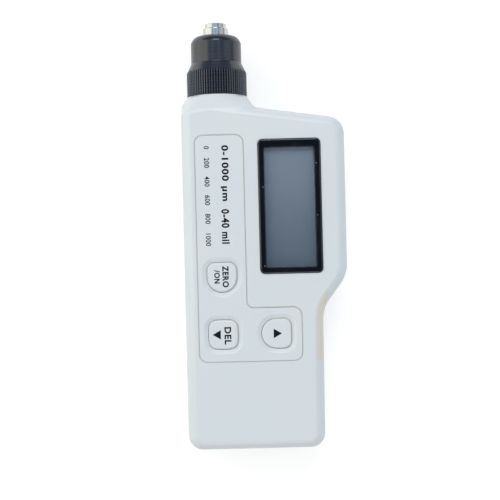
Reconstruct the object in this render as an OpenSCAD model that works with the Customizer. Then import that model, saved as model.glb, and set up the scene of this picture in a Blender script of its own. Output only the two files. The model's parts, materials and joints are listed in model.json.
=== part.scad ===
// Coating thickness gauge with a built-in sprung probe, lying on its back.
// Millimetres. X runs across the face, Y towards the probe and Z out of the face.

/* [Housing] */
// Width of the head, which holds the display
head_w = 61.6; // [58:0.2:70]
// Width of the handle where it meets the head
handle_w = 52.2; // [51:0.2:55]
// Width of the handle at its foot
foot_w = 51.8; // [51:0.2:55]
// Length from the foot to the shoulder below the probe
housing_len = 128.2; // [126:0.2:140]
// Thickness of the closed housing
housing_t = 30; // [29:0.2:34]
// Height at which the handle starts to widen into the head
waist_y = 52.2; // [50:0.2:54]
// Height at which the head reaches its full width
hip_y = 64.7; // [62:0.2:68]
// Radius of both bends between handle and head
hip_r = 12.8; // [8:0.2:14]
// Radius of the corners at the foot
foot_r = 5.7; // [5:0.1:8]
// Radius of the head's outer top corner
crown_r = 6.8; // [5:0.1:9]
// Slope of the head's top edge in degrees
crown_slope = 8.1; // [5:0.1:11]
// Radius of the rounded edge round the face
face_edge_r = 4.4; // [3.8:0.1:4.6]
// Angle at which the rounded edge meets the face, in degrees
face_crease = 12; // [6:1:16]
// Radius of the rounded edge round the back
back_edge_r = 3; // [2.4:0.1:3.4]
// Draft of the side walls, from the parting line to the rounded edge
side_draft = 0.25; // [0.1:0.05:0.5]
// Thickness of the side walls
side_wall = 2.4; // [2:0.1:2.8]
// Thickness of the front wall
front_wall = 2.6; // [2.4:0.1:3.2]
// Thickness of the back wall
back_wall = 2.4; // [2.2:0.1:2.6]

/* [Probe] */
// Distance of the probe's axis from the left side
probe_x = 13.8; // [13:0.1:15]
// Height of the flared neck between shoulder and sleeve
neck_h = 5.5; // [4.5:0.1:7]
// Half angle of the neck's taper in degrees
neck_angle = 29; // [25:1:33]
// Distance from the probe's axis to where the neck meets the head's sloping top
shoulder_reach = 16.6; // [16:0.1:18]
// Distance from the probe's axis to the peak of the sloping top, inside the neck
peak_reach = 3; // [2:0.1:4]
// Radius of the hollow between the neck and the head's sloping top
neck_blend_r = 4; // [3:0.1:5]
// Diameter of the knurled band
collar_d = 23; // [22.5:0.1:25]
// Height of the knurled band
collar_h = 9.2; // [8:0.1:11]
// Number of ridges round the knurled band
ridge_count = 72; // [60:1:84]
// Depth of the grooves between the ridges
ridge_depth = 0.5; // [0.3:0.05:0.6]
// Height of the cone between knurled band and nose
cone_h = 3.7; // [3:0.1:5]
// Diameter of the nose
nose_d = 19.4; // [19:0.1:21]
// Height of the nose's straight side
nose_h = 7.7; // [7:0.1:10]
// Height of the nose's rounded shoulder
nose_shoulder_h = 2.7; // [2.2:0.1:3.2]
// Diameter of the flat at the end of the nose
nose_flat_d = 13.8; // [13:0.1:14.4]
// Diameter of the tip's flange
flange_d = 10; // [9.8:0.1:10.6]
// Height of the flange above the nose
flange_h = 3.2; // [2.6:0.1:3.6]
// Diameter of the tip's tube
tip_d = 8.4; // [8:0.1:8.6]
// Height of the tube above the flange
tip_h = 1.8; // [1.4:0.1:2.4]
// Height of the domed pole above the end of the tube
pole_h = 0.2; // [0.1:0.05:0.4]
// Travel of the sprung tip
tip_travel = 3; // [2:0.1:3.2]
// Diameter of the thread between bush and sleeve
thread_d = 15.8; // [15:0.1:16.2]

/* [Display] */
// Width of the black frame
bezel_w = 23.4; // [22.6:0.1:24.4]
// Height of the black frame
bezel_h = 50.2; // [48:0.1:52]
// Distance of the frame from the head's right side
bezel_margin = 9.5; // [9:0.1:10.5]
// Distance of the frame from the shoulder line
bezel_drop = 12.3; // [11.6:0.1:14]
// Corner radius of the frame
bezel_r = 1.8; // [1.2:0.1:2.4]
// Height of the frame above the face
bezel_proud = 0.5; // [0.2:0.1:1]
// Width of the frame's side borders
bezel_border = 2.45; // [2.2:0.05:2.8]
// Width of the frame's top border
bezel_top_border = 3.2; // [2.8:0.1:3.6]
// Width of the frame's bottom border
bezel_low_border = 2.4; // [2.2:0.1:2.8]
// Depth of the window below the frame's edge
window_recess = 1.5; // [1:0.1:1.8]
// Thickness of the clear window
window_t = 1; // [0.8:0.1:1.2]
// Thickness of the display cell
cell_glass_t = 2.4; // [2:0.1:2.6]

/* [Keys] */
// Distance of the key panel from the left side
panel_margin = 5.4; // [5:0.1:6]
// Distance of the key panel's top from the shoulder line
panel_drop = 10.5; // [9:0.1:13]
// Width of the panel's upright arm
panel_arm_w = 17.9; // [17.4:0.1:18.4]
// Width of the panel's foot
panel_foot_w = 38.2; // [37:0.1:39]
// Height of the panel's lower edge
panel_low_y = 33.4; // [32:0.1:35]
// Height of the step between foot and arm
panel_step_y = 53.1; // [52:0.1:54]
// Outer corner radius of the panel
panel_r = 3; // [2:0.1:4]
// Radius of the panel's inner corner
panel_inner_r = 2.6; // [2:0.1:4]
// Thickness of the panel
panel_t = 1.5; // [1.2:0.1:1.6]
// Width of the shadow line round the panel
groove_w = 0.45; // [0.3:0.05:0.6]
// Depth of the shadow line round the panel
groove_depth = 0.25; // [0.15:0.05:0.4]
// Width of each key
key_w = 10.9; // [10.4:0.1:11.8]
// Height of the lower row of keys
key_row_y = 43.5; // [43:0.1:44]
// Distance between the two rows of keys
key_pitch_y = 21.3; // [21:0.1:24]
// Distance between the two keys of the lower row
key_pitch_x = 19.8; // [19.4:0.1:20.4]
// Width of the dished well round each key
well_w = 1.9; // [1.2:0.1:2.2]
// Depth of the well at the key's edge
well_depth = 0.8; // [0.5:0.1:1]
// Travel of a key
key_travel = 0.5; // [0.3:0.05:0.6]

/* [Battery] */
// Diameter of one cell
cell_d = 10.4; // [10.2:0.1:10.6]
// Length of one cell with its nub
cell_len = 44.5; // [43.5:0.1:45]
// Distance between the axes of two cells
cell_pitch = 10.8; // [10.7:0.05:11]
// Thickness of the sliding door
door_t = 2.1; // [1.9:0.1:2.3]

/* [Fits] */
// Gap between a moving piece and its neighbours
slide_gap = 0.25; // [0.2:0.05:0.4]
// Gap between fixed pieces that are pushed together
fit_gap = 0.1; // [0.05:0.05:0.15]

/* [Hidden] */
$fn = 64;
// Steps in each rounded corner of an outline, and in each rounded edge
arc_steps = 8;
edge_steps = 6;
// Smallest radius of a corner that an inset shrinks
least_r = 0.2;
// Overshoot of every cut past the surface that it opens
cut = 1;
// Cells side by side in the handle
cell_count = 4;

// Planes through the thickness
parting_z = housing_t / 2;
inner_z = housing_t - front_wall;
// Stations along the probe
collar_y = housing_len + neck_h;
cone_y = collar_y + collar_h;
nose_y = cone_y + cone_h;
nose_shoulder_y = nose_y + nose_h;
nose_end_y = nose_shoulder_y + nose_shoulder_h;
flange_end_y = nose_end_y + flange_h;
tube_end_y = flange_end_y + tip_h;
overall_len = tube_end_y + pole_h;

// Outline of the housing, each corner as [x, y, radius]
shoulder_w = probe_x + shoulder_reach;
shoulder_r = face_edge_r + side_draft;
peak_x = probe_x - peak_reach;
peak_y = housing_len + (shoulder_w - peak_x) * tan(crown_slope);
peak_r = 12;
peak_drop = 1.8;
crown_y = housing_len - (head_w - shoulder_w) * tan(crown_slope);
housing_outline = [
    [0, 0, foot_r],
    [foot_w, 0, foot_r],
    [handle_w, waist_y, hip_r],
    [head_w, hip_y, hip_r],
    [head_w, crown_y, crown_r],
    [peak_x, peak_y, peak_r],
    [0, peak_y - peak_drop, shoulder_r]];

// Neck, which tapers from the head's boxy section to the round collar
neck_steps = 10;
neck_sides = 24;
neck_squareness = 5;
neck_low_y = housing_len - neck_blend_r;
neck_arc_y = housing_len + neck_blend_r * (1 - sin(neck_angle));
neck_arc_r = collar_d / 2 + (collar_y - neck_arc_y) * tan(neck_angle);
neck_foot_r = neck_arc_r + neck_blend_r * cos(neck_angle);

// Keys and their panel
key_corner_r = 2.8;
key_bow = 0.35;
key_bow_r = 24;
key_edge_r = 0.6;
key_flange_w = 1.4;
key_flange_t = 1;
stem_r = 2;
arm_x = panel_margin + panel_arm_w / 2;
zero_at = [arm_x, key_row_y + key_pitch_y];
del_at = [arm_x, key_row_y];
up_at = [arm_x + key_pitch_x, key_row_y];
key_half = key_w / 2;
key_round_r = key_half - fit_gap / 2;
zero_outline = [
    [-key_half, -key_half, key_round_r],
    [key_half, -key_half, key_round_r],
    [key_half, key_half, key_corner_r],
    [-key_half, key_half, key_corner_r]];
up_outline = [
    [-key_half, -key_half, key_round_r],
    [key_half, -key_half, key_corner_r],
    [key_half, key_half, key_corner_r],
    [-key_half, key_half, key_round_r]];
del_outline = [for (turn = [0:90:270])
    each [turned([key_half - key_bow, key_bow - key_half], turn, key_corner_r),
        turned([key_half, 0], turn, key_bow_r)]];
panel_outline = [
    [panel_margin, panel_low_y, panel_r],
    [panel_margin + panel_foot_w, panel_low_y, panel_r],
    [panel_margin + panel_foot_w, panel_step_y, panel_r],
    [panel_margin + panel_arm_w, panel_step_y, panel_inner_r],
    [panel_margin + panel_arm_w, housing_len - panel_drop, panel_r],
    [panel_margin, housing_len - panel_drop, panel_r]];
panel_z = housing_t - panel_t;

// Display, from the frame's outline inwards
bezel_x1 = head_w - bezel_margin;
bezel_x0 = bezel_x1 - bezel_w;
bezel_y1 = housing_len - bezel_drop;
bezel_y0 = bezel_y1 - bezel_h;
view_r = 0.5;
bezel_outline = box_outline(bezel_x0, bezel_y0, bezel_x1, bezel_y1, bezel_r);
view_outline = box_outline(bezel_x0 + bezel_border, bezel_y0 + bezel_low_border,
    bezel_x1 - bezel_border, bezel_y1 - bezel_top_border, view_r);
bezel_top_z = housing_t + bezel_proud;
bezel_flange_w = 1.2;
bezel_flange_t = 1.4;
bezel_flange_z = inner_z - bezel_flange_t;
bezel_edge_r = 0.6;
bezel_bevel = 0.3;
pane_lap = 1;
window_z = bezel_top_z - window_recess;
lcd_z = window_z - window_t;
lcd_low_z = lcd_z - cell_glass_t;
strip_w = 1.8;
strip_inset = 0.6;

// Circuit board and what it carries
board_t = 1.6;
board_rise = 5;
board_top_z = parting_z + board_rise;
board_z = board_top_z - board_t;
board_r = 3;
board_gap = 0.4;
processor_w = 10;
processor_len = 14;
processor_h = 1.6;
amplifier_w = 3.9;
amplifier_len = 8.7;
amplifier_h = 1.5;
switch_w = 6;
switch_h = 3.5;
plunger_r = 1.7;
plunger_proud = 0.9;
plunger_top_z = board_top_z + switch_h + plunger_proud;
switch_floor_t = 0.6;
switch_floor_z = board_top_z + switch_floor_t;
plunger_low_z = switch_floor_z + 2 * key_travel;

// Screws and the bosses that take them
boss_r = 3;
screw_boss_r = 4;
screw_r = 1.25;
screw_head_r = 2.5;
screw_head_h = 2;
screw_recess = 5;
screw_len = 18;
screw_hole_r = 1.6;
boss_left_x = side_wall + boss_r + board_gap;
boss_right_x = bezel_x1 + bezel_flange_w + board_gap + boss_r;
screw_pitch = 26;
crown_screw_rise = 2.7;
shell_screw_at = [
    [boss_left_x, zero_at[1] + key_half + key_flange_w + 2 * boss_r],
    [boss_left_x, zero_at[1] + key_half + key_flange_w + 2 * boss_r + screw_pitch],
    [boss_right_x, bezel_y0 + boss_r],
    [boss_right_x, bezel_y1 + crown_screw_rise]];
post_r = 2.5;
post_x = (arm_x + up_at[0]) / 2;
board_screw_r = 0.9;
board_screw_len = 5;
board_head_r = 1.9;
board_head_h = 1.4;
post_drop = 6;
board_waist_x = foot_w - side_wall - 2 * board_gap;
board_screw_at = [
    [bezel_x0 - bezel_flange_w - board_gap - post_r, bezel_y1 - post_drop],
    [post_x, bezel_y0 - post_drop - post_r],
    [post_x, key_row_y - post_drop],
    [board_waist_x - board_r, bezel_y0 - post_drop - post_r]];

// Board outline: upright beside the left bosses, stepped in at the handle
board_x0 = boss_left_x + boss_r + board_gap;
board_y1 = bezel_y1 + bezel_flange_w / 2;
board_outline = [
    [board_x0, panel_low_y, board_r],
    [board_waist_x, panel_low_y, board_r],
    [board_waist_x, bezel_y0 - board_r - bezel_flange_w, board_r],
    [bezel_x1 + bezel_flange_w, bezel_y0 - board_r / 2, board_r],
    [bezel_x1 + bezel_flange_w, board_y1, board_r],
    [board_x0, board_y1, board_r]];

// Battery bay and its sliding door
bay_wall = 1.5;
leaf_h = 3.5;
plate_t = 0.5;
bay_y0 = side_wall + bay_wall;
bay_len = cell_len + leaf_h + 2 * plate_t;
bay_y1 = bay_y0 + bay_len;
bay_x = foot_w / 2;
bay_half = cell_count * cell_pitch / 2 + fit_gap;
door_recess = 0.3;
door_low_z = door_recess;
door_step_z = door_recess + door_t / 2;
door_top_z = door_recess + door_t;
slot_z = door_step_z - slide_gap;
slot_top_z = door_top_z + slide_gap;
cell_z = slot_top_z + fit_gap + cell_d / 2;
bay_top_z = cell_z + cell_d / 2 + fit_gap;
bay_roof_z = bay_top_z + bay_wall;
rail_w = 1.2;
door_half = bay_half - rail_w / 2;
door_flange_half = bay_half + rail_w;
door_end_y = bay_y1 + bay_wall / 2;
tongue_w = 6;
tongue_h = 2.5;

// Probe parts, as radii about the probe's axis
bush_r = thread_d / 2;
bush_bore_r = 4.2;
bush_tail = 9.2;
bush_low_y = housing_len - bush_tail;
bush_flange_t = 2;
bush_flange_r = bush_r + bush_flange_t;
neck_lip = 1;
bush_flange_y = collar_y - bush_flange_t - neck_lip;
tip_collar_w = 1.4;
tip_collar_r = flange_d / 2 + tip_collar_w;
nose_bore_r = flange_d / 2 + slide_gap;
chamber_r = tip_collar_r + slide_gap;
nose_bore_h = 4.2;
nose_step_y = nose_shoulder_y - nose_bore_h;
tip_collar_y = nose_step_y - slide_gap;
tip_collar_h = 3;
tip_low_y = tip_collar_y - tip_collar_h;
core_r = 1.5;
core_low_y = tip_low_y - core_r;
tube_wall = 1;
spool_r = tip_d / 2 - tube_wall - fit_gap;
spool_wall = 0.5;
spool_hub_r = core_r + spool_wall;
spool_t = 0.8;
spool_low_y = tip_collar_y + slide_gap;
spool_top_y = tube_end_y - spool_wall;
wire_r = 0.45;
spring_r = (bush_bore_r + tip_collar_r) / 2;
spring_turns = 3.5;
spring_solid_h = 2 * wire_r * ceil(spring_turns);
bush_top_y = tip_low_y - tip_travel - spring_solid_h - slide_gap;
lead_r = 1.1;
plug_w = 7;
plug_len = 6;
plug_end_y = bezel_y1 - plug_len;

// Point turned about the origin, with a corner radius beside it
function turned(p, angle, r) =
    [p[0] * cos(angle) - p[1] * sin(angle), p[0] * sin(angle) + p[1] * cos(angle), r];

// Rectangle with one corner radius
function box_outline(x0, y0, x1, y1, r) = [[x0, y0, r], [x1, y0, r], [x1, y1, r], [x0, y1, r]];

// Outline moved to a place
function moved(outline, at) = [for (p = outline) [p[0] + at[0], p[1] + at[1], p[2]]];

function flat(p) = [p[0], p[1]];
function unit(v) = v / norm(v);
function left_of(v) = [-v[1], v[0]];

// Points of an outline with its corners rounded, moved inwards by inset
function rounded(outline, inset = 0) = [
    for (i = [0:len(outline) - 1])
        let (
            count = len(outline),
            here = flat(outline[i]),
            u = unit(here - flat(outline[(i + count - 1) % count])),
            w = unit(flat(outline[(i + 1) % count]) - here),
            side = cross(u, w) > 0 ? 1 : -1,
            bend = acos(u * w),
            r = max(outline[i][2] - side * inset, least_r),
            corner = here + (left_of(u) + left_of(w)) * inset / (1 + u * w),
            start = corner - u * r * tan(bend / 2),
            centre = start + left_of(u) * side * r)
        for (k = [0:arc_steps])
            centre + flat(turned(start - centre, side * bend * k / arc_steps, 0))];

// Straight-sided solid of an outline between two heights
module slab(outline, low, high, inset = 0) {
    translate([0, 0, low])
        linear_extrude(high - low)
            polygon(rounded(outline, inset));
}

// Solid through an outline's insets, given as [inset, height] from the bottom up
module loft(outline, profile) {
    skin([for (p = profile) [for (q = rounded(outline, p[0])) [q[0], q[1], p[1]]]]);
}

// Solid through rings of points, each anticlockwise when the last ring is nearest
module skin(rings) {
    count = len(rings[0]);
    top = count * (len(rings) - 1);
    walls = [for (j = [0:len(rings) - 2], i = [0:count - 1])
        [j * count + i, (j + 1) * count + i,
            (j + 1) * count + (i + 1) % count, j * count + (i + 1) % count]];
    polyhedron(
        points = [for (ring = rings) each ring],
        faces = concat([[for (i = [0:count - 1]) i]], walls,
            [[for (i = [count - 1:-1:0]) top + i]]));
}

// Rounded edge as [inset, height] steps that end level with top, where it may leave a crease
function rounded_edge(r, top, inset = 0, crease = 0) = [for (k = [0:edge_steps])
    let (a = (90 - crease) * k / edge_steps)
    [inset + r * (1 - cos(a)), top - r * (cos(crease) - sin(a))]];

// Moves a solid of revolution from the Z axis to the probe's axis
module on_probe_axis() {
    translate([probe_x, 0, parting_z])
        rotate([-90, 0, 0])
            children();
}

// Ring or rod about the probe's axis
module probe_ring(r, low, high) {
    on_probe_axis()
        translate([0, 0, low])
            cylinder(r = r, h = high - low);
}

// Upright rod between two heights
module post(at, r, low, high) {
    translate([at[0], at[1], low])
        cylinder(r = r, h = high - low);
}

// Rectangular block from one corner to the other
module block(low, high) {
    translate(low)
        cube(high - low);
}

// Half of the closed housing above the parting line
module half_form(depth, edge_r, crease = 0) {
    profile = concat([[0, 0]], rounded_edge(edge_r, depth, side_draft, crease));
    loft(housing_outline, profile);
    neck_half(depth);
}

// Reach of the neck to the right at a height, with the hollow at its foot
function neck_right(y) = y > neck_arc_y
    ? collar_d / 2 + (collar_y - y) * tan(neck_angle)
    : neck_foot_r - sqrt(pow(neck_blend_r, 2) - pow(neck_blend_r - max(y - housing_len, 0), 2));

// Reach of the neck's straight taper at a height, up to a limit
function neck_taper(y, limit) = min(collar_d / 2 + (collar_y - y) * tan(neck_angle), limit);

// Half of the neck above the parting line
module neck_half(depth) {
    skin([for (j = [0:neck_steps])
        let (
            share = j / neck_steps,
            y = neck_low_y + (collar_y - neck_low_y) * share,
            power = 2 + neck_squareness * (1 - share),
            high = neck_taper(y, depth - fit_gap))
        [for (k = [neck_sides:-1:0])
            let (
                a = 180 * k / neck_sides,
                side = a < 90 ? neck_right(y) : neck_taper(y, probe_x - side_draft),
                r = pow(pow(abs(cos(a)) / side, power) + pow(sin(a) / high, power), -1 / power))
            [probe_x + r * cos(a), y, r * sin(a)]]]);
}

// Hollow of half the housing, open at the parting line
module half_hollow(depth, edge_r) {
    loft(housing_outline, concat([[side_wall, -cut]], rounded_edge(edge_r, depth, side_wall)));
}

// Bore and groove in the neck that clamp the bush
module bush_seat() {
    probe_ring(bush_r + fit_gap, bush_low_y, collar_y + cut);
    probe_ring(bush_flange_r + fit_gap, bush_flange_y - fit_gap,
        bush_flange_y + bush_flange_t + fit_gap);
}

// Front half of the housing, with the panel's recess and the display's opening
module front_shell() {
    depth = housing_t - parting_z;
    color("whitesmoke")
        difference() {
            union() {
                translate([0, 0, parting_z])
                    difference() {
                        half_form(depth, face_edge_r, face_crease);
                        half_hollow(depth - front_wall, face_edge_r - side_wall);
                    }
                for (at = shell_screw_at)
                    post(at, boss_r, parting_z, inner_z + cut);
                for (at = board_screw_at)
                    post(at, post_r, board_top_z, inner_z + cut / 2);
            }
            slab(panel_outline, panel_z, housing_t + cut, -fit_gap);
            slab(panel_outline, housing_t - groove_depth, housing_t + cut, -groove_w);
            slab(bezel_outline, inner_z - cut, housing_t + cut, -fit_gap);
            key_opening(zero_outline, zero_at);
            key_opening(del_outline, del_at);
            key_opening(up_outline, up_at);
            bush_seat();
            for (at = shell_screw_at)
                post(at, screw_r + fit_gap, parting_z - cut, screw_recess + screw_len + cut);
            for (at = board_screw_at)
                post(at, board_screw_r + fit_gap, board_top_z - cut, board_z + board_screw_len + cut);
        }
}

// Cut for one key through the front wall
module key_opening(outline, at) {
    slab(moved(outline, at), inner_z - cut, housing_t + cut, -slide_gap);
}

// Back half of the housing, with the battery bay and the door's slot
module rear_shell() {
    tongue_x = [bay_x - bay_half / 2, bay_x + bay_half / 2];
    color("white")
        difference() {
            union() {
                translate([0, 0, parting_z])
                    mirror([0, 0, 1])
                        difference() {
                            half_form(parting_z, back_edge_r);
                            half_hollow(parting_z - back_wall, back_edge_r - side_wall);
                        }
                block([side_wall / 2, bay_y0 - bay_wall, back_wall / 2],
                    [handle_w - side_wall / 2, bay_y1 + bay_wall, bay_roof_z]);
                for (x = tongue_x)
                    block([x - tongue_w / 2, side_wall + fit_gap, bay_top_z],
                        [x + tongue_w / 2, side_wall + fit_gap + bay_wall, parting_z + tongue_h]);
                for (at = shell_screw_at)
                    post(at, screw_boss_r, back_wall / 2, parting_z);
            }
            block([bay_x - bay_half, bay_y0, slot_z], [bay_x + bay_half, bay_y1, bay_top_z]);
            block([bay_x - door_half - slide_gap, -cut, -cut],
                [bay_x + door_half + slide_gap, door_end_y + slide_gap, slot_top_z]);
            block([bay_x - door_flange_half - slide_gap, -cut, slot_z],
                [bay_x + door_flange_half + slide_gap, door_end_y + slide_gap, slot_top_z]);
            bush_seat();
            for (at = shell_screw_at) {
                post(at, screw_head_r + 2 * slide_gap, -cut, screw_recess);
                post(at, screw_hole_r, -cut, parting_z + cut);
            }
        }
}

// L-shaped panel with a dished well round each key
module key_panel() {
    color("white")
        difference() {
            slab(panel_outline, panel_z, housing_t);
            key_well(zero_outline, zero_at);
            key_well(del_outline, del_at);
            key_well(up_outline, up_at);
        }
}

// Dish whose floor meets the key and whose rim rolls out level with the panel
module key_well(outline, at) {
    place = moved(outline, at);
    floor_z = housing_t - well_depth;
    slab(place, panel_z - cut, housing_t + cut, -slide_gap);
    loft(place, concat(
        [for (k = [0:edge_steps])
            let (share = k / edge_steps)
            [-slide_gap - well_w * share, floor_z + well_depth * (1 - cos(180 * share)) / 2]],
        [[-slide_gap - well_w, housing_t + cut]]));
}

// One key: cap, flange behind the front wall, and stem on the switch
module key(outline, at) {
    flange_z = inner_z - slide_gap;
    place = moved(outline, at);
    color("white") {
        loft(place, concat([[0, flange_z - key_flange_t]], rounded_edge(key_edge_r, housing_t)));
        slab(place, flange_z - key_flange_t, flange_z, -key_flange_w);
        post(at, stem_r, plunger_top_z, flange_z);
    }
}

// Switch housing on the board, open for its plunger
module switch(at) {
    half = switch_w / 2;
    color("dimgray")
        difference() {
            block([at[0] - half, at[1] - half, board_top_z],
                [at[0] + half, at[1] + half, board_top_z + switch_h]);
            post(at, plunger_r + slide_gap, switch_floor_z, board_top_z + switch_h + cut);
        }
}

// Plunger that a key pushes into its switch
module plunger(at) {
    color("black")
        post(at, plunger_r, plunger_low_z, plunger_top_z);
}

// Black frame, held by a flange behind the front wall
module display_bezel() {
    color("black")
        difference() {
            union() {
                loft(bezel_outline,
                    concat([[0, bezel_flange_z]], rounded_edge(bezel_edge_r, bezel_top_z)));
                slab(bezel_outline, bezel_flange_z, inner_z, -bezel_flange_w);
            }
            loft(view_outline, [[0, window_z - cut], [0, window_z],
                [-bezel_bevel, bezel_top_z], [-2 * bezel_bevel, bezel_top_z + cut]]);
            slab(view_outline, bezel_flange_z - cut, window_z, -pane_lap - fit_gap);
        }
}

// Clear pane behind the frame
module display_window() {
    color([0.8, 0.85, 0.9, 0.4])
        slab(view_outline, lcd_z, window_z, -pane_lap);
}

// Grey display cell behind the pane
module lcd_glass() {
    color("slategray")
        slab(view_outline, lcd_low_z, lcd_z, -pane_lap);
}

// One contact strip's box, at the left or right edge of the display
module strip_box(side, gap) {
    x0 = bezel_x0 + bezel_border + strip_inset;
    x1 = bezel_x1 - bezel_border - strip_inset - strip_w;
    x = side == 0 ? x0 : x1;
    y0 = bezel_y0 + bezel_low_border + strip_w;
    y1 = bezel_y1 - bezel_top_border - strip_w;
    block([x - gap, y0 - gap, board_top_z - gap], [x + strip_w + gap, y1 + gap, lcd_low_z + gap]);
}

// Frame between board and display, with a slot for each contact strip
module lcd_holder() {
    color("ivory")
        difference() {
            slab(bezel_outline, board_top_z, bezel_flange_z, -bezel_flange_w);
            slab(view_outline, lcd_low_z, bezel_flange_z + cut, -pane_lap - fit_gap);
            slab(view_outline, board_top_z - cut, lcd_low_z + cut, 2 * strip_w);
            for (side = [0, 1])
                strip_box(side, fit_gap);
        }
}

// Rubber strips that join the display to the board
module contact_strips() {
    color("dimgray")
        for (side = [0, 1])
            strip_box(side, 0);
}

// Circuit board, screwed to the posts of the front shell
module main_board() {
    color("darkgreen")
        difference() {
            slab(board_outline, board_z, board_top_z);
            for (at = board_screw_at)
                post(at, board_screw_r + slide_gap, board_z - cut, board_top_z + cut);
        }
}

// Chip on the back of the board, with a row of legs along each long side
module chip(at, size, legs, leg_pitch) {
    leg_w = 0.4;
    leg_l = 1;
    color("black")
        block([at[0] - size[0] / 2, at[1] - size[1] / 2, board_z - size[2]],
            [at[0] + size[0] / 2, at[1] + size[1] / 2, board_z]);
    color("silver")
        for (side = [-1, 1], i = [0:legs - 1])
            translate([at[0] + side * (size[0] / 2 + leg_l / 2) - leg_l / 2,
                    at[1] + (i - (legs - 1) / 2) * leg_pitch - leg_w / 2, board_z - size[2] / 2])
                cube([leg_l, leg_w, size[2] / 2]);
}

module processor() {
    size = [processor_w, processor_len, processor_h];
    legs = 12;
    leg_pitch = 1;
    chip([bezel_x0 + bezel_w / 2, bezel_y0 + bezel_h / 2], size, legs, leg_pitch);
}

module probe_amplifier() {
    size = [amplifier_w, amplifier_len, amplifier_h];
    legs = 7;
    leg_pitch = 1.27;
    chip([post_x, bezel_y1 - 2 * size[1]], size, legs, leg_pitch);
}

// Quartz crystal, a flat oblong can on a thin foot
module crystal() {
    can = [4.7, 6.3, 3.5];
    foot = 0.4;
    x = bezel_x1 - can[0];
    y = bezel_y0 + can[1];
    color("silver")
        for (part = [[can[0] / 2, can[2]], [can[0] / 2 + foot, foot]]) {
            block([x - part[0], y, board_z - part[1]], [x + part[0], y + can[1], board_z]);
            for (end = [y, y + can[1]])
                post([x, end], part[0], board_z - part[1], board_z);
        }
}

// Threaded bush that the two shells clamp in the neck
module probe_bush() {
    color("goldenrod")
        difference() {
            union() {
                probe_ring(bush_r, bush_low_y, bush_top_y);
                probe_ring(bush_flange_r, bush_flange_y, bush_flange_y + bush_flange_t);
            }
            probe_ring(bush_bore_r, bush_low_y - cut, bush_top_y + cut);
        }
}

// Turned sleeve: knurled band, cone and round-shouldered nose, hollow for bush and tip
module probe_sleeve() {
    collar_r = collar_d / 2;
    nose_r = nose_d / 2;
    flat_r = nose_flat_d / 2;
    valley_r = collar_r - ridge_depth;
    chamfer = 0.3;
    knurl_share = 0.75;
    knurl_end_y = cone_y + knurl_share * cone_h;
    crest = [0.35, 0.65];
    shoulder_from = 20;
    ridge = 360 / ridge_count;
    color([0.14, 0.15, 0.18])
        difference() {
            intersection() {
                on_probe_axis()
                    rotate_extrude()
                        polygon(concat(
                            [[0, collar_y], [collar_r - chamfer, collar_y],
                                [collar_r, collar_y + chamfer], [collar_r, cone_y],
                                [nose_r, nose_y]],
                            [for (k = [0:edge_steps])
                                let (a = shoulder_from + (90 - shoulder_from) * k / edge_steps)
                                [flat_r + (nose_r - flat_r) * cos(a) / cos(shoulder_from),
                                    nose_shoulder_y + nose_shoulder_h
                                        * (sin(a) - sin(shoulder_from)) / (1 - sin(shoulder_from))]],
                            [[0, nose_end_y]]));
                union() {
                    on_probe_axis()
                        translate([0, 0, collar_y - cut])
                            linear_extrude(knurl_end_y - collar_y + cut)
                                polygon([for (i = [0:ridge_count - 1])
                                    each [polar(valley_r, i * ridge),
                                        polar(collar_r, (i + crest[0]) * ridge),
                                        polar(collar_r, (i + crest[1]) * ridge)]]);
                    probe_ring(valley_r - ridge_depth / 2, knurl_end_y, nose_end_y + cut);
                }
            }
            probe_ring(bush_r + fit_gap, collar_y - cut, bush_top_y + cut);
            probe_ring(chamber_r, bush_top_y, nose_step_y);
            probe_ring(nose_bore_r, nose_step_y - cut, nose_end_y + cut);
        }
}

function polar(r, angle) = [r * cos(angle), r * sin(angle)];

// Sprung tip: collar inside the nose, flange at its mouth and tube round the pole
module probe_tip() {
    flange_r = flange_d / 2;
    tube_r = tip_d / 2;
    hole_r = core_r + fit_gap;
    inner_r = spool_r + fit_gap;
    flange_edge = 0.5;
    rim = 0.3;
    color("silver")
        on_probe_axis()
            rotate_extrude()
                polygon(concat(
                    [[hole_r, tip_low_y], [tip_collar_r, tip_low_y], [tip_collar_r, tip_collar_y],
                        [flange_r, tip_collar_y]],
                    [for (k = [0:edge_steps])
                        let (a = 90 * k / edge_steps)
                        [flange_r - flange_edge * (1 - cos(a)), flange_end_y - flange_edge * (1 - sin(a))]],
                    [[tube_r, flange_end_y], [tube_r, tube_end_y - rim], [tube_r - rim, tube_end_y],
                        [inner_r, tube_end_y], [inner_r, spool_low_y], [hole_r, spool_low_y]]));
}

// Magnetic pole, a rod with a domed end
module probe_core() {
    dome_h = 0.9;
    color("lightgray")
        on_probe_axis()
            rotate_extrude()
                polygon(concat(
                    [[0, core_low_y]],
                    [[core_r, core_low_y]],
                    [for (k = [0:edge_steps])
                        let (a = 90 * k / edge_steps)
                        [core_r * cos(a), overall_len - dome_h * (1 - sin(a))]]));
}

// Flanged former that carries the winding
module coil_former() {
    bore_r = core_r + fit_gap;
    color("ivory")
        on_probe_axis()
            rotate_extrude()
                polygon([[bore_r, spool_low_y], [spool_r, spool_low_y], [spool_r, spool_low_y + spool_t],
                    [spool_hub_r, spool_low_y + spool_t], [spool_hub_r, spool_top_y - spool_t],
                    [spool_r, spool_top_y - spool_t], [spool_r, spool_top_y], [bore_r, spool_top_y]]);
}

// Copper winding between the former's flanges
module probe_coil() {
    color("chocolate")
        difference() {
            probe_ring(spool_r - fit_gap, spool_low_y + spool_t, spool_top_y - spool_t);
            probe_ring(spool_hub_r + fit_gap / 2, spool_low_y, spool_top_y);
        }
}

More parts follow.
